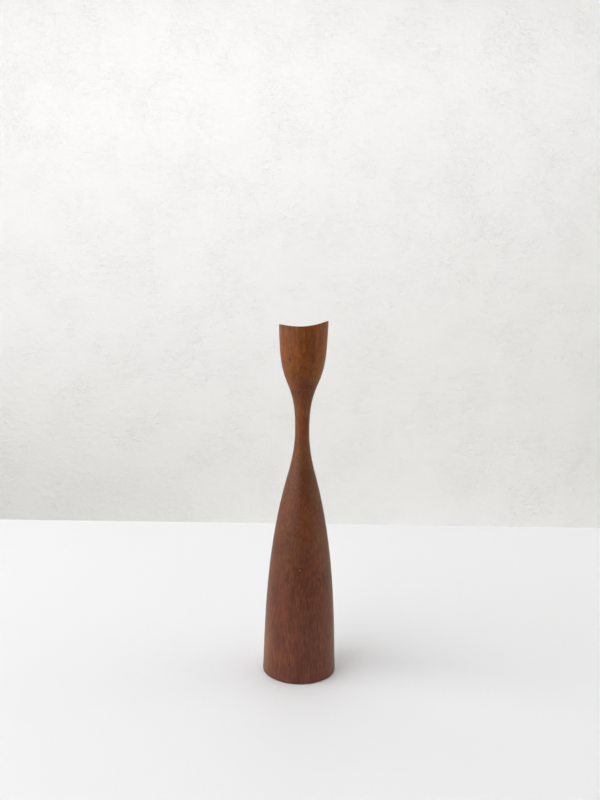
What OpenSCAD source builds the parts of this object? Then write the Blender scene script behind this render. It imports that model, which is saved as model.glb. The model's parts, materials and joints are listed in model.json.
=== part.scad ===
// Turned wooden candlestick: a bell-shaped body and a tulip cup with a scooped rim.
// Millimetres. +Z is up, the origin is the centre of the felt's underside, and +X is the high side of the rim.

/* [Outline] */
// Diameter of the foot
foot_d = 50; // [48:0.5:60]
// Inward lean of the side just above the foot, degrees
foot_lean = 6.5; // [3:0.5:8]
// Height at which the shoulder turns from full to hollow
shoulder_z = 131.5; // [128:0.5:134]
// Diameter there
shoulder_d = 20.8; // [19:0.1:23]
// Inward lean of the side there, degrees
shoulder_lean = 15.5; // [13:0.5:18]
// Height of the narrowest place
neck_z = 164; // [162:0.5:166]
// Diameter of the narrowest place
neck_d = 9.9; // [9.5:0.1:12]
// Height at which the cup turns from hollow to full
calyx_z = 197; // [196:0.5:199]
// Diameter there
calyx_d = 21.2; // [20.8:0.1:23]
// Outward lean of the cup's side there, degrees
calyx_lean = 23.5; // [21:0.5:25]
// Diameter of the cup at the top of its blank
lip_d = 34.9; // [34.4:0.1:38]
// Outward lean of the cup's side at the rim, degrees
lip_lean = 2.5; // [0:0.5:4]
// Radius of the rounded edge under the foot
foot_edge = 1.2; // [0.6:0.1:1.6]

/* [Rim] */
// Lowest point of the scooped rim
rim_z = 234.8; // [234:0.1:236]
// Radius of the scoop, which runs from front to back
scoop_r = 35.5; // [32:0.5:60]
// How far the scoop's lowest line lies from the centre, towards the low side
scoop_offset = 2.5; // [0:0.5:4]

/* [Candle socket] */
// Diameter of the candle it takes
candle_d = 22; // [20:0.5:22]
// Radial clearance around the candle
candle_clearance = 0.2; // [0.1:0.05:0.4]
// Depth of the socket below the flange's top
socket_depth = 22; // [18:0.5:22]
// Wall of the brass liner
liner_wall = 0.8; // [0.6:0.1:0.8]
// Thickness of the liner's floor
liner_floor = 1.6; // [1.6:0.1:2]
// Diameter of the liner's flange
flange_d = 27.6; // [27:0.1:28]
// Thickness of the liner's flange
flange_t = 0.8; // [0.6:0.1:1]
// Depth of the flange's top below the rim's lowest point
flange_drop = 2.6; // [1.5:0.1:3]

/* [Cup joint] */
// Height of the glued joint between the body and the cup
joint_z = 192; // [190:0.5:194]
// Diameter of the joining dowel
dowel_d = 6; // [5:0.5:6]
// Length of the joining dowel
dowel_length = 22; // [18:0.5:22]
// How much of the dowel stands in the cup
dowel_in_cup = 9; // [7:0.5:9]

/* [Screw] */
// Diameter of the screw's shank
screw_d = 2.5; // [2:0.1:2.8]
// Diameter of the screw's countersunk head
screw_head_d = 5; // [4.5:0.1:5]
// Length of the screw with its head
screw_length = 8; // [7:0.5:8]

/* [Underside] */
// Diameter of the steel weight
weight_d = 30; // [20:0.5:32]
// Thickness of the steel weight
weight_t = 12; // [6:0.5:16]
// Diameter of the plywood cover
cover_d = 34; // [33:0.5:38]
// Thickness of the plywood cover
cover_t = 3; // [2:0.5:4]
// Diameter of the felt pad
felt_d = 45; // [40:0.5:45]
// Thickness of the felt pad
felt_t = 1.5; // [1:0.1:2]
// How far the felt stands out below the wood
felt_proud = 0.2; // [0.1:0.05:0.3]

/* [Hidden] */
$fn = 96;

glue_gap = 0.05;          // radial room for glue around a dowel or a pressed piece
pocket_gap = 0.15;        // radial room around the weight and its cover
end_gap = 0.5;            // room for glue beyond the dowel's upper end and above the weight
cut = 1;                  // how far a cutting shape runs past the face it cuts
curve_steps = 20;         // straight steps in each stretch of the outline
edge_steps = 5;           // straight steps around the foot's rounded edge

blank_top = rim_z + scoop_r / 4;   // above the scoop's highest point
dish_gap = 0.2;           // radial room around the liner's flange
join_step = 0.2;          // shortest step of the outline next to a cut
flange_top = rim_z - flange_drop;
flange_z = flange_top - flange_t;
socket_r = candle_d / 2 + candle_clearance;
liner_r = socket_r + liner_wall;
socket_floor_z = flange_top - socket_depth;
liner_z = socket_floor_z - liner_floor;
mouth_chamfer = 0.5;
dish_r = flange_d / 2 + dish_gap;

screw_r = screw_d / 2;
screw_head_r = screw_head_d / 2;
screw_head_h = screw_head_r - screw_r;
screw_clearance = 0.1;
screw_tip = 1.5;
slot_w = 0.6;
slot_depth = 0.6;
screw_top_z = socket_floor_z - screw_clearance;
screw_tip_z = screw_top_z - screw_length;

dowel_top_z = joint_z + dowel_in_cup;
dowel_z = dowel_top_z - dowel_length;
dowel_chamfer = 0.6;

cover_z = felt_t;
cover_chamfer = 0.3;
weight_z = cover_z + cover_t;
weight_chamfer = 0.6;
pocket_top_z = weight_z + weight_t + end_gap;

// The outline's stations, from the foot to the lip:
// [radius, height, outward lean, reach of the curve below, reach of the curve above]
STATIONS = [
    [foot_d / 2, 0, -foot_lean, 0, 13],
    [shoulder_d / 2, shoulder_z, -shoulder_lean, 59, 6],
    [neck_d / 2, neck_z, 0, 14, 16],
    [calyx_d / 2, calyx_z, calyx_lean, 10.5, 14.5],
    [lip_d / 2, blank_top, lip_lean, 25, 0]
];

function lean(a) = [sin(a), cos(a)];

// A point on the smooth curve from station a to station b, with t from 0 to 1
function curve_point(a, b, t) =
    let(p0 = [a[0], a[1]], p3 = [b[0], b[1]])
    let(p1 = p0 + a[4] * lean(a[2]), p2 = p3 - b[3] * lean(b[2]))
    pow(1 - t, 3) * p0 + 3 * pow(1 - t, 2) * t * p1 + 3 * (1 - t) * t * t * p2 + t * t * t * p3;

OUTLINE = [
    for (s = [0 : len(STATIONS) - 2])
        for (i = [(s == 0 ? 0 : 1) : curve_steps])
            curve_point(STATIONS[s], STATIONS[s + 1], i / curve_steps)
];

// Radius of the outline at height z
function radius_at(z, i = 1) =
    z <= OUTLINE[i][1] || i == len(OUTLINE) - 1
        ? OUTLINE[i - 1][0] + (z - OUTLINE[i - 1][1])
            * (OUTLINE[i][0] - OUTLINE[i - 1][0]) / (OUTLINE[i][1] - OUTLINE[i - 1][1])
        : radius_at(z, i + 1);

// The outline's points between two heights, with a point at each of them
function outline_between(low, high) = concat(
    [[radius_at(low), low]],
    [for (p = OUTLINE) if (p[1] > low + join_step && p[1] < high - join_step) p],
    [[radius_at(high), high]]
);

// A rounded lower edge, from the underside out to the side
function rounded_edge(r, z, size) = [
    for (i = [0 : edge_steps])
        let(a = 90 * i / edge_steps)
        [r - size + size * sin(a), z + size - size * cos(a)]
];

module turned(points) {
    rotate_extrude() polygon(points);
}

module disc(r, low, high) {
    translate([0, 0, low]) cylinder(r = r, h = high - low);
}

// A disc with both edges chamfered
module chamfered_disc(r, low, high, chamfer) {
    turned([
        [0, low],
        [r - chamfer, low],
        [r, low + chamfer],
        [r, high - chamfer],
        [r - chamfer, high],
        [0, high]
    ]);
}

module turned_body() {
    edge_top = felt_proud + foot_edge;
    side = outline_between(edge_top, joint_z);
    edge = rounded_edge(side[0][0], felt_proud, foot_edge);
    color("saddlebrown") difference() {
        turned(concat([[0, felt_proud]], edge, [for (i = [1 : len(side) - 1]) side[i]], [[0, joint_z]]));
        disc(felt_d / 2 + pocket_gap, felt_proud - cut, felt_t);
        disc(cover_d / 2 + pocket_gap, felt_proud - cut, weight_z);
        disc(weight_d / 2 + pocket_gap, felt_proud - cut, pocket_top_z);
        disc(dowel_d / 2 + glue_gap, dowel_z, joint_z + cut);
    }
}

module candle_cup() {
    side = outline_between(joint_z, blank_top);
    color("sienna") difference() {
        turned(concat([[0, joint_z]], side, [[0, blank_top]]));
        disc(dish_r, flange_z, blank_top + cut);
        disc(liner_r + glue_gap, liner_z, blank_top + cut);
        disc(screw_r + glue_gap, screw_tip_z - glue_gap, liner_z + cut);
        disc(dowel_d / 2 + glue_gap, joint_z - cut, dowel_top_z + end_gap);
        translate([-scoop_offset, 0, rim_z + scoop_r]) rotate([90, 0, 0])
            cylinder(r = scoop_r, h = lip_d + 2 * cut, center = true, $fn = 180);
    }
}

module joining_dowel() {
    color("burlywood") chamfered_disc(dowel_d / 2, dowel_z, dowel_top_z, dowel_chamfer);
}

module brass_liner() {
    countersink_r = screw_head_r + screw_clearance;
    hole_r = screw_r + screw_clearance;
    color("goldenrod") difference() {
        turned([
            [0, liner_z],
            [liner_r, liner_z],
            [liner_r, flange_z],
            [flange_d / 2, flange_z],
            [flange_d / 2, flange_top],
            [socket_r + mouth_chamfer, flange_top],
            [socket_r, flange_top - mouth_chamfer],
            [socket_r, socket_floor_z],
            [0, socket_floor_z]
        ]);
        turned([
            [0, liner_z - cut],
            [hole_r, liner_z - cut],
            [hole_r, socket_floor_z - (countersink_r - hole_r)],
            [countersink_r, socket_floor_z],
            [countersink_r, socket_floor_z + cut],
            [0, socket_floor_z + cut]
        ]);
    }
}

module liner_screw() {
    color("gold") difference() {
        turned([
            [0, screw_tip_z],
            [screw_r, screw_tip_z + screw_tip],
            [screw_r, screw_top_z - screw_head_h],
            [screw_head_r, screw_top_z],
            [0, screw_top_z]
        ]);
        translate([-screw_head_d / 2 - cut, -slot_w / 2, screw_top_z - slot_depth])
            cube([screw_head_d + 2 * cut, slot_w, slot_depth + cut]);
    }
}

module base_weight() {
    color("slategray") chamfered_disc(weight_d / 2, weight_z, weight_z + weight_t, weight_chamfer);
}

module weight_cover() {
    color("tan") chamfered_disc(cover_d / 2, cover_z, cover_z + cover_t, cover_chamfer);
}

module felt_pad() {
    color("darkolivegreen") disc(felt_d / 2, 0, felt_t);
}

turned_body();
candle_cup();
joining_dowel();
brass_liner();
liner_screw();
base_weight();
weight_cover();
felt_pad();
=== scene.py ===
"""A turned wooden candlestick: its finished surfaces, a plain table and wall, soft light and a camera."""

import json
import math

import bpy
import numpy as np
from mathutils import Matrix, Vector, noise


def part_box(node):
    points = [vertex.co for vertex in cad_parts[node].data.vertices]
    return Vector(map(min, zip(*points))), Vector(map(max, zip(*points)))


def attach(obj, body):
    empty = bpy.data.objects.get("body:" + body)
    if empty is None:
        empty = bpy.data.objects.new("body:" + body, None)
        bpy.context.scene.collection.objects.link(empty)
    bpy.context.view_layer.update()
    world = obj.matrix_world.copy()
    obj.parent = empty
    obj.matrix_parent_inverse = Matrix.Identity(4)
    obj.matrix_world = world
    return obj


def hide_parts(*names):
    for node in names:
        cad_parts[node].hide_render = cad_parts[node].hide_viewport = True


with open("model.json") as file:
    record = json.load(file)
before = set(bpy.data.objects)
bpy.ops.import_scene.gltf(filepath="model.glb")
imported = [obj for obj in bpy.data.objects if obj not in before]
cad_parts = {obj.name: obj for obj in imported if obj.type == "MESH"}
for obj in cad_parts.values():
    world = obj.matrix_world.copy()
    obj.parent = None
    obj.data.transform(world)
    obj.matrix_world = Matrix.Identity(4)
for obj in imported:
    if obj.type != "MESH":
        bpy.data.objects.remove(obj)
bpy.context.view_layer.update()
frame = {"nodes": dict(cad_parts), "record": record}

MM = 0.001

# Camera, level with the neck and a little to the left of the turning axis
CAMERA_AT = (-1.8 * MM, -408.3 * MM, 185.8 * MM)
CAMERA_LENS = 26.46
CAMERA_SENSOR = 36
CAMERA_ROLL = math.radians(-0.8)

# Sizes that the parts' boxes don't give
FOOT_EDGE = 1.2 * MM
GLUE_GAP = 0.05 * MM
POCKET_GAP = 0.15 * MM
END_GAP = 0.5 * MM
FELT_PROUD = 0.2 * MM
DISH_GAP = 0.2 * MM
SCOOP_RADIUS = 35.5 * MM
SCOOP_OFFSET = 2.5 * MM
RIM_LOW = 234.8 * MM
SCREW_RADIUS = 1.25 * MM
SCREW_CORE = 0.85 * MM
SCREW_PITCH = 1.1 * MM
SCREW_SLOT = 0.6 * MM
SCREW_GAP = 0.1 * MM
SCREW_SEGMENTS = 64
LINER_WALL = 0.8 * MM
FLANGE = 0.8 * MM
DOWEL_FLUTES = 16
PLY = 1 * MM

# The stage: the table's front and back edges, the wall behind it and half the room's width
TABLE_FRONT, TABLE_BACK, WALL_Y, ROOM_HALF = -0.45, 0.476, 1.0, 3.0
WALL_FOOT, WALL_TOP = -1.5, 3.5
BACKDROP_GLOW = 0.72

# The table is this far below the felt, so that the two never lie in one plane
TABLE_DROP = 0.05 * MM

# Brightness of the room: (left, right), (in front, behind) and (below, above)
ROOM = ((1.52, 1.02), (0.05, 0.6), (0.15, 0.04))
ROOM_COLOUR = (0.99, 1.0, 0.9, 1)

# Gloss of the oiled wood seen straight on, and the pale haze along its edges
WOOD_SPECULAR = 0.21
WOOD_HAZE = 0.06
WOOD_HAZE_TINT = (0.85, 1.0, 0.4, 1)

# Mesh fineness
SEGMENTS = 192
RING_STEP = 0.8 * MM
EASE_STEPS = 5
RIM_STEPS = 12
RIM_ROWS = 14
SCREW_ROWS = 84
FELT_ROWS = 46
JOINT_EDGE = 0.02 * MM
JOINT_STEP = 0.1 * MM
SHARP_ANGLE = math.radians(38)

# The cup's rows are level up to here, and bend to follow the rim above it
LEVEL_ROWS_TOP = 226 * MM


# ---------------------------------------------------------------- outlines and turned meshes


def part_size(node):
    """(radius, lowest z, highest z) of a turned part."""
    low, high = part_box(node)
    return (high[0] - low[0]) / 2, low[2], high[2]


def cad_side(node):
    """The outer side of a turned CAD part as rows of (radius, z), from its foot to its top."""
    mesh = frame["nodes"][node].data
    rows = {}
    for face in mesh.polygons:
        centre, normal = face.center, face.normal
        outward = normal.x * centre.x + normal.y * centre.y
        if outward < 0.6 * math.hypot(centre.x, centre.y):
            continue
        for index in face.vertices:
            x, y, z = mesh.vertices[index].co
            key = round(z / (0.02 * MM))
            rows[key] = max(rows.get(key, (0, 0)), (math.hypot(x, y), z))
    return np.array([rows[key] for key in sorted(rows)])


def smooth_radius(side, heights):
    """Radius at each height, on a smooth curve through the CAD side's rows."""
    radii, zs = side[:, 0], side[:, 1]
    slopes = np.gradient(radii, zs)
    at = np.clip(np.searchsorted(zs, heights) - 1, 0, len(zs) - 2)
    span = zs[at + 1] - zs[at]
    t = (heights - zs[at]) / span
    return (
        (2 * t**3 - 3 * t**2 + 1) * radii[at]
        + (t**3 - 2 * t**2 + t) * span * slopes[at]
        + (3 * t**2 - 2 * t**3) * radii[at + 1]
        + (t**3 - t**2) * span * slopes[at + 1]
    )


def eased(corners):
    """Points of an outline of (radius, z, setback) corners, with each corner rounded over its setback."""
    points = []
    for i, (r, z, setback) in enumerate(corners):
        corner = np.array((r, z))
        if not setback:
            points.append(corner)
            continue
        ends = []
        for other in (corners[i - 1], corners[(i + 1) % len(corners)]):
            leg = np.array(other[:2]) - corner
            ends.append(corner + leg * min(setback / np.linalg.norm(leg), 0.45))
        for t in np.linspace(0, 1, EASE_STEPS + 1):
            points.append((1 - t) ** 2 * ends[0] + 2 * t * (1 - t) * corner + t**2 * ends[1])
    return np.array(points)


def finish_mesh(mesh, name, material):
    """Links a new mesh as a piece with smooth shading and sharp creases."""
    mesh.validate()
    mesh.update()
    mesh.shade_smooth()
    mesh.set_sharp_from_angle(angle=SHARP_ANGLE)
    piece = bpy.data.objects.new(name, mesh)
    bpy.context.scene.collection.objects.link(piece)
    piece.data.materials.append(material)
    return piece


def turned(name, columns, material, ring=False):
    """A closed turned solid. columns holds one outline of (radius, z) points per angle. It runs from an axis
    point to an axis point, or for a ring goes round its section and joins up."""
    columns = np.asarray(columns)
    count = len(columns)
    body = columns if ring else columns[:, 1:-1]
    inner = body.shape[1]
    angles = np.arange(count) * 2 * math.pi / count
    across = (body[..., 0] * np.cos(angles)[:, None], body[..., 0] * np.sin(angles)[:, None], body[..., 1])
    vertices = np.stack(across, -1).reshape(-1, 3).tolist()
    faces = []
    for i in range(count):
        here, there = i * inner, (i + 1) % count * inner
        for j in range(inner if ring else inner - 1):
            k = (j + 1) % inner
            faces.append((here + j, there + j, there + k, here + k))
        if not ring:
            faces.append((len(vertices), there, here))
            faces.append((here + inner - 1, there + inner - 1, len(vertices) + 1))
    if not ring:
        vertices += [[0, 0, columns[:, end, 1].mean()] for end in (0, -1)]
    mesh = bpy.data.meshes.new(name)
    mesh.from_pydata(vertices, [], faces)
    return finish_mesh(mesh, name, material)


def round_outline(corners, segments=SEGMENTS):
    """The same eased outline at every angle."""
    return np.repeat(eased(corners)[None], segments, axis=0)


def side_corners(side, low, high):
    """Plain outline corners up a turned side, about RING_STEP apart."""
    heights = np.linspace(low, high, int((high - low) / RING_STEP) + 2)
    return [(r, z, 0) for r, z in zip(smooth_radius(side, heights), heights)]


# ---------------------------------------------------------------- materials


def srgb(*levels):
    """A red, green and blue from 0 to 255 in sRGB, as linear RGBA."""
    shares = [level / 255 for level in levels]
    linear = [c / 12.92 if c <= 0.04045 else ((c + 0.055) / 1.055) ** 2.4 for c in shares]
    return (*linear, 1)


class Shader:
    """A material's node tree, with short ways to add the nodes that the patterns need."""

    def __init__(self, name):
        self.material = bpy.data.materials.new(name)
        self.material.use_nodes = True
        self.tree = self.material.node_tree
        self.surface = self.tree.nodes["Principled BSDF"]
        self.place = self.tree.nodes.new("ShaderNodeTexCoord").outputs["Object"]

    def set(self, **values):
        """Sets sockets of the surface shader, with _ for each space in a name."""
        for name, value in values.items():
            self.put(self.surface.inputs[name.replace("_", " ")], value)

    def put(self, socket, value):
        if isinstance(value, bpy.types.NodeSocket):
            self.tree.links.new(value, socket)
        else:
            socket.default_value = value

    def node(self, kind, values, output=0, **settings):
        """Adds a node. values maps an input's name or number to a number or to another node's output."""
        made = self.tree.nodes.new("ShaderNode" + kind)
        for name, value in settings.items():
            setattr(made, name, value)
        for key, value in values.items():
            self.put(made.inputs[key], value)
        return made.outputs[output]

    def math(self, operation, a, b=0.0, clamp=False):
        return self.node("Math", {0: a, 1: b}, operation=operation, use_clamp=clamp)

    def stretched(self, scale, at=(0, 0, 0), place=None):
        """The place in the part, shifted by at and then scaled along each axis."""
        values = {"Vector": place or self.place, "Location": at, "Scale": scale}
        return self.node("Mapping", values)

    def noise(self, scale, detail=2, rough=0.5, at=(0, 0, 0), place=None):
        """Noise from 0 to 1 whose grains are about 1 / scale metres along each axis."""
        place = self.stretched(scale, at, place)
        values = {"Vector": place, "Scale": 1, "Detail": detail, "Roughness": rough}
        return self.node("TexNoise", values)

    def ranged(self, value, low, high, to_low=0.0, to_high=1.0, smooth=True):
        """value from low..high taken to to_low..to_high and held there."""
        values = {"Value": value, "From Min": low, "From Max": high, "To Min": to_low, "To Max": to_high}
        kind = "SMOOTHSTEP" if smooth else "LINEAR"
        return self.node("MapRange", values, interpolation_type=kind, clamp=True)

    def ramp(self, value, stops):
        """A colour ramp of (position, colour) stops."""
        made = self.tree.nodes.new("ShaderNodeValToRGB")
        elements = made.color_ramp.elements
        while len(elements) < len(stops):
            elements.new(0.5)
        for element, (position, colour) in zip(elements, stops):
            element.position = position
            element.color = colour
        self.put(made.inputs[0], value)
        return made.outputs["Color"]

    def mix(self, factor, a, b, blend="MIX"):
        """A colour mix."""
        made = self.tree.nodes.new("ShaderNodeMix")
        made.data_type = "RGBA"
        made.blend_type = blend
        for name, value in (("Factor_Float", factor), ("A_Color", a), ("B_Color", b)):
            self.put(next(s for s in made.inputs if s.identifier == name), value)
        return next(s for s in made.outputs if s.identifier == "Result_Color")

    def height(self):
        """Height of the place in the part."""
        return self.node("SeparateXYZ", {0: self.place}, output="Z")

    def slant(self):
        """How far the surface turns from upright towards flat: 0 on a vertical side, 1 on a level face."""
        normal = self.node("NewGeometry", {}, output="Normal")
        z = self.node("SeparateXYZ", {0: normal}, output="Z")
        return self.math("ABSOLUTE", z)

    def near(self, centre, size):
        """1 at centre, falling to 0 at an ellipsoid of that half-size around it."""
        offset = self.stretched([1 / s for s in size], [-c / s for c, s in zip(centre, size)])
        distance = self.node("VectorMath", {0: offset}, output="Value", operation="LENGTH")
        return self.ranged(distance, 0, 1, 1, 0)

    def bump(self, height, distance, strength=1.0):
        self.set(Normal=self.node("Bump", {"Strength": strength, "Distance": distance, "Height": height}))


def dimmed(colour, share):
    """A colour at that share of its brightness."""
    return (*(share * c for c in colour[:3]), 1)


KNOT_HEART = srgb(132, 90, 56)


def wood(name, tones, pith, seed, shade, streaky, cloudy, soak, marks=(), knots=()):
    """Oiled dark hardwood. tones are its dark, middle and light colours, and pith is where the tree's centre
    would be, in metres from the turning axis. seed moves its patterns. shade is (low z, high z, tint): the
    colour is multiplied by the tint at low z and is plain at high z. The tint is painted shade and a painted
    bluish reflection of the pale table, and on the body it is partly the wood's own tone. streaky and cloudy
    say how strong its figure is, and soak how much it darkens where its side leans. marks are places of
    another tone, as (centre, half-size, tint), some of them the wood's own and some painted highlight,
    reflection and shade, and knots are pin knots, as (centre, half-size)."""
    shader = Shader(name)
    dark, middle, light = tones
    shift = (seed, seed * 1.7, seed * 0.6)

    # The grain wanders a little as it climbs
    wander = shader.noise((16, 16, 9), 2, 0.5, shift)
    sway = shader.noise((70, 70, 22), 2, 0.5, shift)
    drift = shader.math("ADD", shader.math("MULTIPLY", wander, 0.010), shader.math("MULTIPLY", sway, 0.0022))
    pushed = shader.node("VectorMath", {0: shader.place, 1: shader.node("CombineXYZ", {0: drift, 1: drift})})

    # Growth rings round the pith, unevenly spaced and faint on the sides
    flat = shader.node("VectorMath", {0: pushed, 1: (1, 1, 0.03)}, operation="MULTIPLY")
    reach = shader.node("VectorMath", {0: flat, 1: (*pith, 0)}, output="Value", operation="DISTANCE")
    uneven = shader.noise((130, 130, 4), 2, 0.5, shift)
    turns = shader.math("ADD", shader.math("MULTIPLY", reach, 330), shader.math("MULTIPLY", uneven, 3.2))
    phase = shader.math("FRACT", turns)
    ring = shader.math("SUBTRACT", shader.ranged(phase, 0.1, 0.85), shader.ranged(phase, 0.88, 1.0))

    # Tone: fine fibres, broader streaks, a soft cloudy figure and faint cross ripple
    fibre = shader.noise((2300, 2300, 130), 2, 0.6, shift, pushed)
    streak = shader.noise((950, 950, 55), 3, 0.6, shift, pushed)
    band = shader.noise((150, 150, 7), 2, 0.5, shift, pushed)
    cloud = shader.noise((75, 75, 60), 3, 0.55, shift)
    ripple = shader.noise((150, 150, 380), 2, 0.55, shift)
    flush = shader.ranged(shader.noise((85, 85, 55), 2, 0.5, (shift[2], shift[0], shift[1])), 0.36, 0.64)
    tone = 0.5
    figure = ((fibre, 1.3), (streak, streaky), (band, 0.25), (cloud, cloudy), (ripple, 0.75 * cloudy))
    for value, share in figure:
        tone = shader.math("ADD", tone, shader.math("MULTIPLY", shader.math("SUBTRACT", value, 0.5), share))
    tone = shader.math("SUBTRACT", tone, shader.math("MULTIPLY", ring, 0.05))
    colour = shader.ramp(tone, ((0.14, dark), (0.47, middle), (0.8, light)))
    hue = shader.mix(flush, (0.99, 1.03, 0.98, 1), (1.04, 0.93, 0.99, 1))
    colour = shader.mix(1, colour, hue, "MULTIPLY")
    # Painted shade and painted reflection: low on the part the colour takes the shade tint, darker and bluer,
    # standing in for the pale table's reflection (on the body partly the wood's own tone)
    ragged = shader.math("MULTIPLY", shader.math("SUBTRACT", cloud, 0.5), 0.05)
    level = shader.math("ADD", shader.height(), ragged)
    shaded = shader.ranged(level, shade[0], shade[1], 1, 0)
    colour = shader.mix(shaded, colour, (*shade[2], 1), "MULTIPLY")

    # Open pores, short dark dashes along the grain, thicker in some rings
    pore = shader.noise((3000, 3000, 190), 1, 0.5, (shift[1], shift[2], shift[0]), pushed)
    pore = shader.ranged(pore, 0.60, 0.70)
    crowd = shader.ranged(shader.noise((260, 260, 28), 2, 0.5, shift), 0.35, 0.65, 0.35, 1)
    pore = shader.math("MULTIPLY", pore, crowd)
    colour = shader.mix(shader.math("MULTIPLY", pore, 0.33), colour, dimmed(dark, 0.4))

    # Marks of another tone, some the wood's own and some painted highlight, reflection and shade, then pin
    # knots
    for centre, size, tint in marks:
        colour = shader.mix(shader.near(centre, size), colour, (*tint, 1), "MULTIPLY")
    for centre, size in knots:
        inside = shader.near(centre, size)
        edge = shader.math("SUBTRACT", shader.ranged(inside, 0.05, 0.4), shader.ranged(inside, 0.5, 0.8))
        heart = shader.ranged(inside, 0.6, 0.95)
        colour = shader.mix(shader.math("MULTIPLY", edge, 0.75), colour, dimmed(dark, 0.6))
        colour = shader.mix(shader.math("MULTIPLY", heart, 0.45), colour, KNOT_HEART)

    # Wood cut across the grain drinks more oil, so it is darker and duller
    slant = shader.slant()
    across = shader.ranged(slant, 0.1, 0.35, 0, soak)
    end_grain = shader.ranged(slant, 0.45, 0.9)
    colour = shader.mix(across, colour, dimmed(dark, 0.75))
    colour = shader.mix(shader.math("MULTIPLY", end_grain, 0.55), colour, dimmed(dark, 0.5))
    polish = shader.ranged(shader.noise((120, 120, 40), 3, 0.6, shift), 0.3, 0.7, 0.38, 0.46)
    polish = shader.math("ADD", polish, shader.math("MULTIPLY", fibre, 0.08))
    polish = shader.math("ADD", polish, shader.math("MULTIPLY", end_grain, 0.25), clamp=True)
    shader.set(Base_Color=colour, Roughness=polish, IOR=1.5, Specular_IOR_Level=WOOD_SPECULAR)
    shader.set(Sheen_Weight=WOOD_HAZE, Sheen_Roughness=0.4, Sheen_Tint=WOOD_HAZE_TINT)
    height = shader.math("SUBTRACT", shader.math("MULTIPLY", fibre, 0.4), pore)
    shader.bump(height, 0.03 * MM, 0.5)
    return shader.material


def pale_wood(name, dark, light, plywood=False):
    """Bare pale wood, with level glue lines and a grain that lies flat when it is plywood."""
    shader = Shader(name)
    fibre = shader.noise((60, 1500, 1500) if plywood else (1200, 1200, 60), 3, 0.6, (4, 2, 1))
    band = shader.noise((150, 150, 12), 2, 0.5, (4, 2, 1))
    tone = shader.math("MULTIPLY", shader.math("ADD", fibre, band), 0.5)
    colour = shader.ramp(shader.ranged(tone, 0.3, 0.7), ((0, dark), (1, light)))
    if plywood:
        layer = shader.math("PINGPONG", shader.height(), PLY / 2)
        line = shader.ranged(layer, 0.0, 0.08 * MM, 1, 0)
        colour = shader.mix(shader.math("MULTIPLY", line, 0.6), colour, dimmed(dark, 0.4))
    shader.set(Base_Color=colour, Roughness=shader.ranged(fibre, 0.3, 0.7, 0.55, 0.7))
    shader.bump(fibre, 0.05 * MM, 0.4)
    return shader.material


def turned_metal(name, clean, dull, rough, grooves):
    """Metal turned on a lathe: fine circular tool marks, a soft film of tarnish and dulled edges."""
    shader = Shader(name)
    across = shader.node("VectorMath", {0: shader.place, 1: (1, 1, 0)}, operation="MULTIPLY")
    radius = shader.node("VectorMath", {0: across}, output="Value", operation="LENGTH")
    outward, upward = (shader.math("MULTIPLY", value, grooves) for value in (radius, shader.height()))
    lathe = shader.node("CombineXYZ", {0: outward, 1: upward})
    marks = shader.node("TexNoise", {"Vector": lathe, "Scale": 1, "Detail": 3, "Roughness": 0.6})
    film = shader.noise((260, 260, 260), 4, 0.6, (3, 1, 7))
    spots = shader.ranged(shader.noise((1500, 1500, 1500), 2, 0.5, (1, 5, 2)), 0.6, 0.72)
    tarnish = shader.ranged(film, 0.38, 0.66)
    colour = shader.mix(tarnish, clean, dull)
    colour = shader.mix(shader.math("MULTIPLY", spots, 0.35), colour, dimmed(dull, 0.4))
    rubbed = shader.math("MULTIPLY", tarnish, 0.14)
    rubbed = shader.math("ADD", rubbed, shader.math("MULTIPLY", marks, 0.1))
    shader.set(Base_Color=colour, Metallic=1.0, Roughness=shader.math("ADD", rubbed, rough))
    shader.bump(marks, 0.02 * MM, 0.35)
    return shader.material


def wool_felt(name, dark, light):
    """Pressed wool felt: matted fibres, a little sheen and no gloss."""
    shader = Shader(name)
    bent = shader.noise((900, 900, 900), 2, 0.5)
    swirl = shader.node("VectorMath", {0: shader.place, 1: shader.math("MULTIPLY", bent, 0.0011)})
    fibre = shader.noise((3200, 1300, 3200), 4, 0.7, (0, 0, 0), swirl)
    clump = shader.noise((420, 420, 420), 3, 0.6, (2, 8, 1))
    tone = shader.math("ADD", shader.math("MULTIPLY", fibre, 0.7), shader.math("MULTIPLY", clump, 0.3))
    colour = shader.ramp(shader.ranged(tone, 0.36, 0.64), ((0, dark), (1, light)))
    shader.set(Base_Color=colour, Roughness=0.95, Sheen_Weight=0.12, Sheen_Roughness=0.5)
    shader.bump(tone, 0.3 * MM, 0.8)
    return shader.material


# ---------------------------------------------------------------- pieces


def liner_bore():
    """Radius of the candle socket's bore, from the record."""
    mount = next(m for m in frame["record"]["mounts"] if m["name"] == "candle_socket")
    return mount["dims"]["r_mm"] * MM


def scoop_height(x):
    """Height of the scooped rim at that x."""
    return RIM_LOW + SCOOP_RADIUS - math.sqrt(SCOOP_RADIUS**2 - (x + SCOOP_OFFSET) ** 2)


def rim_point(side, angle):
    """(radius, z) where the cup's outer side meets the scoop at that angle, found by repeated steps."""
    z = RIM_LOW
    for _ in range(RIM_STEPS):
        r = smooth_radius(side, np.array([z]))[0]
        z = scoop_height(r * math.cos(angle))
    return r, z


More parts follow.
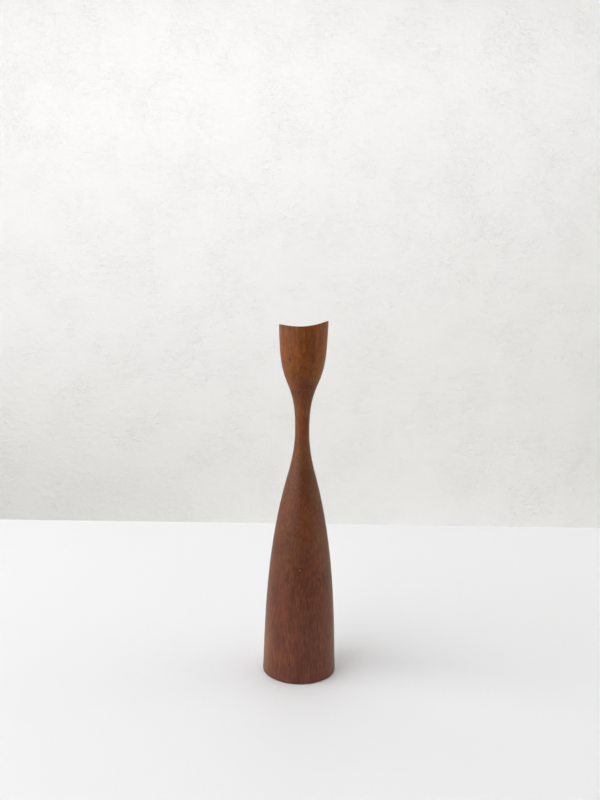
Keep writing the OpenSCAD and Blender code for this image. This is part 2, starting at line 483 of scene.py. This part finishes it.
def make_body(material):
    """The turned body: rounded foot, bell, shoulder and neck, with its pockets below and dowel hole above."""
    side = cad_side("turned_body")
    felt_r, _, felt_top = part_size("felt_pad")
    cover_r, _, cover_top = part_size("weight_cover")
    weight_r, _, weight_top = part_size("base_weight")
    dowel_r, dowel_low, _ = part_size("joining_dowel")
    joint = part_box("turned_body")[1][2]
    foot_r = smooth_radius(side, np.array([FELT_PROUD + FOOT_EDGE]))[0]
    corners = [(0, weight_top + END_GAP, 0), (weight_r + POCKET_GAP, weight_top + END_GAP, 0.2 * MM)]
    for r, top in ((weight_r, cover_top), (cover_r, cover_top), (cover_r, felt_top), (felt_r, felt_top)):
        corners.append((r + POCKET_GAP, top, 0.2 * MM))
    corners.append((felt_r + POCKET_GAP, FELT_PROUD, 0.3 * MM))
    corners.append((foot_r, FELT_PROUD, FOOT_EDGE))
    corners += side_corners(side, FELT_PROUD + 2.2 * FOOT_EDGE, joint - JOINT_STEP)
    corners.append((side[-1][0], joint, JOINT_EDGE))
    corners.append((dowel_r + GLUE_GAP, joint, 0.2 * MM))
    corners += [(dowel_r + GLUE_GAP, dowel_low, 0.1 * MM), (0, dowel_low, 0)]
    piece = turned("wooden_body", round_outline(corners), material)
    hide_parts("turned_body")
    return piece


def make_cup(material):
    """The candle cup, whose outline changes round the axis because its rim is scooped."""
    side = cad_side("candle_cup")
    dowel_r, _, dowel_top = part_size("joining_dowel")
    liner_r, liner_low, liner_top = part_size("brass_liner")
    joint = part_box("candle_cup")[0][2]
    seat = max(v.co.z for v in frame["nodes"]["brass_liner"].data.vertices if v.co.z < liner_top - 0.6 * MM)
    bore_r = liner_bore() + LINER_WALL + GLUE_GAP
    dish_r = liner_r + DISH_GAP
    screw_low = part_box("liner_screw")[0][2] - GLUE_GAP
    # The side runs on above the CAD rows, so that the highest tip still has a wall to meet
    slope = (side[-1][0] - side[-6][0]) / (side[-1][1] - side[-6][1])
    side = np.vstack((side, side[-1] + np.array((slope, 1)) * 6 * MM))
    columns = []
    for angle in np.arange(SEGMENTS) * 2 * math.pi / SEGMENTS:
        rim_r, rim = rim_point(side, angle)
        corners = [(0, dowel_top + END_GAP, 0), (dowel_r + GLUE_GAP, dowel_top + END_GAP, 0.1 * MM)]
        corners += [(dowel_r + GLUE_GAP, joint, 0.2 * MM), (side[0][0], joint, JOINT_EDGE)]
        corners += side_corners(side, joint + JOINT_STEP, LEVEL_ROWS_TOP)
        rows = np.linspace(LEVEL_ROWS_TOP, rim, RIM_ROWS)[1:-1]
        corners += [(r, z, 0) for r, z in zip(smooth_radius(side, rows), rows)]
        corners.append((rim_r, rim, 0.3 * MM))
        for share in (0.35, 0.65):
            r = rim_r + (dish_r - rim_r) * share
            corners.append((r, scoop_height(r * math.cos(angle)), 0))
        corners.append((dish_r, scoop_height(dish_r * math.cos(angle)), 0.35 * MM))
        corners += [(dish_r, seat, 0.15 * MM), (bore_r, seat, 0.15 * MM), (bore_r, liner_low, 0.15 * MM)]
        corners += [(SCREW_RADIUS + GLUE_GAP, liner_low, 0.1 * MM), (SCREW_RADIUS + GLUE_GAP, screw_low, 0)]
        corners.append((0, screw_low, 0))
        columns.append(eased(corners))
    piece = turned("tulip_cup", columns, material)
    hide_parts("candle_cup")
    return piece


def make_socket(material):
    """The brass candle socket: a thin cup with a flange, a rolled mouth and a countersunk floor hole."""
    flange_r, low, top = part_size("brass_liner")
    bore = liner_bore()
    head_r, _, head_top = part_size("liner_screw")
    floor = head_top + SCREW_GAP
    hole_r = SCREW_RADIUS + SCREW_GAP
    sink_r = head_r + SCREW_GAP
    corners = [
        (hole_r, low, 0.1 * MM),
        (bore + LINER_WALL, low, 0.4 * MM),
        (bore + LINER_WALL, top - FLANGE, 0.15 * MM),
        (flange_r, top - FLANGE, 0.15 * MM),
        (flange_r, top, 0.45 * MM),
        (flange_r - 0.9 * MM, top, 0.2 * MM),
        (flange_r - 1.1 * MM, top - 0.12 * MM, 0.1 * MM),
        (bore + 0.9 * MM, top - 0.12 * MM, 0.1 * MM),
        (bore + 0.7 * MM, top, 0.15 * MM),
        (bore, top, 0.5 * MM),
        (bore, floor, 0.6 * MM),
        (sink_r, floor, 0.08 * MM),
        (hole_r, floor - (sink_r - hole_r), 0.08 * MM),
    ]
    piece = turned("brass_socket", round_outline(corners), material, ring=True)
    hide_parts("brass_liner")
    return piece


def make_screw(material):
    """The countersunk wood screw: slotted head, plain neck and a thread that runs out to the point."""
    head_r, low, top = part_size("liner_screw")
    head_z = top - (head_r - SCREW_RADIUS)
    thread_top = head_z - 1.3 * MM
    rows = np.linspace(low, thread_top, SCREW_ROWS)[1:]
    columns = []
    for angle in np.arange(SCREW_SEGMENTS) / SCREW_SEGMENTS:
        phase = (rows / SCREW_PITCH - angle) % 1
        crest = np.clip(1 - np.abs(phase - 0.5) / 0.24, 0, 1)
        run_out = np.clip((thread_top - rows) / SCREW_PITCH, 0, 1)
        taper = np.clip((rows - low) / (1.9 * MM), 0, 1) ** 0.8
        core = SCREW_CORE + (SCREW_RADIUS - SCREW_CORE) * (1 - run_out)
        radii = (core + (SCREW_RADIUS - core) * crest) * taper
        column = [(0, low)] + list(zip(radii, rows))
        head = [(SCREW_RADIUS, thread_top, 0), (SCREW_RADIUS, head_z, 0.1 * MM)]
        head += [(head_r, top - 0.12 * MM, 0.06 * MM), (head_r - 0.1 * MM, top, 0), (0, top, 0)]
        column += [tuple(point) for point in eased(head)][1:]
        columns.append(column)
    piece = turned("brass_screw", columns, material)
    cutter = bpy.data.meshes.new("slot")
    x, y, bottom, above = head_r + MM, SCREW_SLOT / 2, top - SCREW_SLOT, top + MM
    corners = [(i, j, k) for i in (-x, x) for j in (-y, y) for k in (bottom, above)]
    faces = [(0, 1, 3, 2), (4, 6, 7, 5), (0, 4, 5, 1), (2, 3, 7, 6), (0, 2, 6, 4), (1, 5, 7, 3)]
    cutter.from_pydata(corners, [], faces)
    blade = bpy.data.objects.new("slot", cutter)
    bpy.context.scene.collection.objects.link(blade)
    cut = piece.modifiers.new("slot", "BOOLEAN")
    cut.object, cut.operation, cut.solver = blade, "DIFFERENCE", "EXACT"
    shape = bpy.data.meshes.new_from_object(piece.evaluated_get(bpy.context.evaluated_depsgraph_get()))
    piece.modifiers.remove(cut)
    piece.data = shape
    shape.set_sharp_from_angle(angle=SHARP_ANGLE)
    bpy.data.objects.remove(blade)
    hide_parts("liner_screw")
    return piece


def make_dowel(material):
    """The fluted dowel, whose grooves let the glue spread and the air out."""
    r, low, top = part_size("joining_dowel")
    tip, slope = 0.6 * MM, 0.25 * MM
    outline = eased([
        (0, low, 0), (r - tip, low, slope), (r, low + tip, slope),
        (r, top - tip, slope), (r - tip, top, slope), (0, top, 0),
    ])
    columns = []
    for i in range(SEGMENTS):
        groove = max(0, math.cos(2 * math.pi * DOWEL_FLUTES * i / SEGMENTS)) ** 3
        columns.append([(radius * (1 - 0.055 * groove), z) for radius, z in outline])
    piece = turned("fluted_dowel", columns, material)
    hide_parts("joining_dowel")
    return piece


def make_weight(material):
    """The turned steel slug, faced at both ends, with a lathe centre in each."""
    r, low, top = part_size("base_weight")
    tip, slope = 0.6 * MM, 0.2 * MM
    corners = [
        (0, low + 1.6 * MM, 0), (1.5 * MM, low, 0.12 * MM), (r - tip, low, slope), (r, low + tip, slope),
        (r, top - tip, slope), (r - tip, top, slope), (1.5 * MM, top, 0.12 * MM), (0, top - 1.6 * MM, 0),
    ]
    piece = turned("steel_weight", round_outline(corners), material)
    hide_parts("base_weight")
    return piece


def make_cover(material):
    """The plywood disc that closes the weight's pocket."""
    r, low, top = part_size("weight_cover")
    corners = [(0, low, 0), (r, low, 0.35 * MM), (r, top, 0.35 * MM), (0, top, 0)]
    piece = turned("plywood_cover", round_outline(corners), material)
    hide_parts("weight_cover")
    return piece


def make_felt(material):
    """The felt disc: soft edges, and faces that aren't quite flat."""
    r, low, top = part_size("felt_pad")
    rows = np.linspace(0, r, FELT_ROWS)[1:-1]
    columns = []
    for i in range(SEGMENTS):
        angle = 2 * math.pi * i / SEGMENTS
        edge = r - 0.1 * MM * (1 + math.sin(7 * angle + 1) * math.sin(11 * angle))
        corners = [(0, low, 0)]
        corners += [(row, low, 0) for row in rows[rows < r - 1.5 * MM]]
        corners += [(edge, low, 0.6 * MM), (edge, top, 0.6 * MM)]
        for row in rows[rows < r - 1.5 * MM][::-1]:
            at = Vector((row * math.cos(angle), row * math.sin(angle), 0)) * 260
            corners.append((row, top - 0.05 * MM * (1 + noise.noise(at)), 0))
        columns.append(eased(corners + [(0, top - 0.05 * MM, 0)]))
    piece = turned("felt_disc", columns, material)
    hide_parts("felt_pad")
    return piece


def make_stage():
    """A plain pale table that ends behind the object, a plain wall, and a pale backdrop on the other sides.
    The backdrop and the table's far front show, but give the object no reflections or light."""
    table = Shader("table_top")
    table.set(Base_Color=srgb(235, 235, 240), Roughness=0.6)
    wall = Shader("wall_paint")
    wall.set(Base_Color=srgb(231, 230, 231), Roughness=0.9)
    waves = wall.noise((16, 16, 16), 5, 0.6)
    trowel = wall.ranged(wall.noise((55, 55, 85), 5, 0.7, (3, 0, 5)), 0.4, 0.8)
    worked = wall.ranged(wall.noise((9, 9, 9), 3, 0.6, (1, 0, 8)), 0.42, 0.62, 0.3, 0.7)
    wall.bump(wall.math("ADD", waves, wall.math("MULTIPLY", trowel, worked)), 5 * MM, 0.55)
    paper = Shader("backdrop_paper")
    paper.set(Base_Color=(0, 0, 0, 1), Roughness=1.0)
    paper.set(Emission_Color=(1, 1, 1, 1), Emission_Strength=BACKDROP_GLOW)

    def sheet(name, corners, shader, seen_only=False):
        mesh = bpy.data.meshes.new(name)
        mesh.from_pydata(corners, [], [(0, 1, 2, 3)])
        obj = bpy.data.objects.new(name, mesh)
        bpy.context.scene.collection.objects.link(obj)
        mesh.materials.append(shader.material)
        if seen_only:
            obj.visible_diffuse = obj.visible_glossy = obj.visible_shadow = False

    def level(name, near, far, shader, seen_only=False):
        ends = ((-ROOM_HALF, near), (ROOM_HALF, near), (ROOM_HALF, far), (-ROOM_HALF, far))
        corners = [(*end, -TABLE_DROP) for end in ends]
        sheet(name, corners, shader, seen_only)

    def upright(name, start, end, shader, seen_only=False):
        corners = [(*start, WALL_FOOT), (*end, WALL_FOOT), (*end, WALL_TOP), (*start, WALL_TOP)]
        sheet(name, corners, shader, seen_only)

    level("table", TABLE_FRONT, TABLE_BACK, table)
    level("table_front", -ROOM_HALF, TABLE_FRONT, table, seen_only=True)
    upright("wall", (-ROOM_HALF, WALL_Y), (ROOM_HALF, WALL_Y), wall)
    corners = [(-ROOM_HALF, WALL_Y), (-ROOM_HALF, -ROOM_HALF), (ROOM_HALF, -ROOM_HALF), (ROOM_HALF, WALL_Y)]
    for i, name in enumerate(("backdrop_left", "backdrop_front", "backdrop_right")):
        upright(name, corners[i], corners[i + 1], paper, seen_only=True)


def make_room():
    """The world around the stage, as bright along each axis as ROOM says, and blended in between."""
    world = bpy.data.worlds.new("room")
    world.use_nodes = True
    tree = world.node_tree

    def add(operation, *values):
        made = tree.nodes.new("ShaderNodeMath")
        made.operation = operation
        for socket, value in zip(made.inputs, values):
            if isinstance(value, bpy.types.NodeSocket):
                tree.links.new(value, socket)
            else:
                socket.default_value = value
        return made.outputs[0]

    direction = tree.nodes.new("ShaderNodeSeparateXYZ")
    tree.links.new(tree.nodes.new("ShaderNodeTexCoord").outputs["Generated"], direction.inputs[0])
    total = 0
    for axis, (low, high) in enumerate(ROOM):
        along = direction.outputs[axis]
        side = add("MULTIPLY_ADD", add("GREATER_THAN", along, 0), high - low, low)
        total = add("MULTIPLY_ADD", add("MULTIPLY", along, along), side, total)
    tree.links.new(total, tree.nodes["Background"].inputs["Strength"])
    tree.nodes["Background"].inputs["Color"].default_value = ROOM_COLOUR
    bpy.context.scene.world = world


def make_light(name, size, energy, at, towards, colour=(1, 1, 1), glossy=True, spread=180):
    """A soft rectangular lamp. glossy says whether it makes highlights, and spread is its fan in degrees."""
    lamp = bpy.data.lights.new(name, "AREA")
    lamp.shape = "RECTANGLE"
    lamp.size, lamp.size_y = size
    lamp.energy = energy
    lamp.color = colour
    lamp.spread = math.radians(spread)
    obj = bpy.data.objects.new(name, lamp)
    obj.location = at
    ahead = np.array(towards) - np.array(at)
    obj.rotation_euler = Vector(ahead).to_track_quat("-Z", "Y").to_euler()
    obj.visible_camera = False
    obj.visible_glossy = glossy
    bpy.context.scene.collection.objects.link(obj)


# ---------------------------------------------------------------- the scene

scene = bpy.context.scene
camera = bpy.data.objects.new("camera", bpy.data.cameras.new("camera"))
camera.data.lens = CAMERA_LENS
camera.data.sensor_width = CAMERA_SENSOR
camera.location = CAMERA_AT
camera.rotation_euler = (math.pi / 2, CAMERA_ROLL, 0)
scene.collection.objects.link(camera)
scene.camera = camera
scene.view_settings.view_transform = "Standard"

body_wood = wood(
    "body_wood",
    (srgb(80, 43, 20), srgb(101, 56, 27), srgb(126, 75, 35)),
    (0.062, 0.014),
    1.3,
    # shade: darker and bluer below 160 mm, partly the wood's own tone and partly a painted reflection of the
    # pale table
    (60 * MM, 160 * MM, (0.84, 0.82, 1.42)),
    0.52,
    0.4,
    0.42,
    marks=[
        # Bluer towards the foot: partly the wood's own tone, partly a painted reflection of the pale table
        ((0, 0, 0), (90 * MM, 90 * MM, 75 * MM), (1.0, 1.02, 1.32)),
        ((0, -22 * MM, 64 * MM), (30 * MM, 22 * MM, 26 * MM), (0.86, 0.87, 0.82)),
        # Painted reflection: a lighter, greener patch along the foot's left edge, where the pale table shows
        # in it
        ((-22 * MM, -6 * MM, 24 * MM), (10 * MM, 17 * MM, 28 * MM), (1.35, 1.6, 1.45)),
        ((-11 * MM, -22 * MM, 15 * MM), (9 * MM, 8 * MM, 9 * MM), (1.18, 1.15, 0.9)),
        ((4 * MM, -25 * MM, 30 * MM), (9 * MM, 8 * MM, 12 * MM), (0.88, 0.86, 0.98)),
        ((2 * MM, -18 * MM, 98 * MM), (8 * MM, 9 * MM, 10 * MM), (1.08, 0.96, 0.95)),
        # Painted reflection: a lighter, greener patch along the foot's right edge, where the pale table shows
        # in it
        ((22 * MM, -8 * MM, 18 * MM), (9 * MM, 15 * MM, 30 * MM), (1.1, 1.45, 1.3)),
        # Painted reflection: another lighter patch low on the foot's left edge
        ((-21 * MM, -12 * MM, 14 * MM), (9 * MM, 11 * MM, 24 * MM), (1.22, 1.36, 1.24)),
        # Painted highlight: a pale, bluish patch just left of centre on the shoulder, where the window's
        # sheen falls
        ((-3 * MM, -10 * MM, 134 * MM), (4 * MM, 6 * MM, 16 * MM), (1.12, 1.13, 1.28)),
    ],
    knots=[((-0.3 * MM, -20.8 * MM, 73.3 * MM), (2.7 * MM, 3.0 * MM, 2.7 * MM))],
)
cup_wood = wood(
    "cup_wood",
    (srgb(86, 44, 13), srgb(110, 59, 18), srgb(137, 77, 24)),
    (-0.048, 0.02),
    7.3,
    # shade: painted shade and a painted bluish reflection of the pale table on the lower cup, where it turns
    # under
    (192 * MM, 209 * MM, (0.86, 0.89, 1.42)),
    0.95,
    0.5,
    0.05,
    marks=[
        ((-8.9 * MM, -12.7 * MM, 213.3 * MM), (1.8 * MM, 2.2 * MM, 2.8 * MM), (0.55, 0.48, 0.6)),
        ((6.6 * MM, -14.0 * MM, 212.8 * MM), (1.4 * MM, 2.2 * MM, 5.5 * MM), (0.6, 0.52, 0.6)),
        # Painted shade: a darker, bluer band low on the cup where its underside faces down
        ((2.6 * MM, -8.8 * MM, 194.8 * MM), (9.0 * MM, 9.0 * MM, 8.0 * MM), (0.78, 0.7, 1.05)),
    ],
)
pieces = [
    make_body(body_wood),
    make_cup(cup_wood),
    make_dowel(pale_wood("beech", srgb(176, 138, 96), srgb(208, 174, 132))),
    make_socket(turned_metal("liner_brass", srgb(205, 168, 98), srgb(158, 120, 66), 0.26, 5200)),
    make_screw(turned_metal("screw_brass", srgb(198, 160, 94), srgb(140, 106, 60), 0.3, 5200)),
    make_weight(turned_metal("turned_steel", srgb(168, 168, 170), srgb(120, 118, 116), 0.32, 2600)),
    make_cover(pale_wood("birch_ply", srgb(184, 150, 108), srgb(214, 184, 144), plywood=True)),
    make_felt(wool_felt("brown_felt", srgb(40, 29, 21), srgb(92, 70, 52))),
]
for piece in pieces:
    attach(piece, "root")

make_stage()
make_room()
make_light("window", (2.77, 1.25), 33.4, (-1.295, -0.809, 1.074), (0, 0, 0.12), (1.0, 1.0, 0.995))
make_light("high_right", (1.2, 1.2), 3.3, (0.9, -0.9, 1.9), (0, 0, 0.12), (1.0, 0.98, 0.95))
make_light("far_side", (1.6, 0.5), 2.2, (1.6, 0.15, 0.31), (0, 0, 0.12), (1.0, 0.95, 0.82), False, 80)
make_light("wall_wash", (2.4, 0.5), 4.6, (0.58, 0.42, 1.15), (0.58, 1.0, 0.35))
make_light("wall_low", (1.3, 0.3), 2.4, (0.4, 0.6, -0.5), (0.38, 1.0, 0.0))
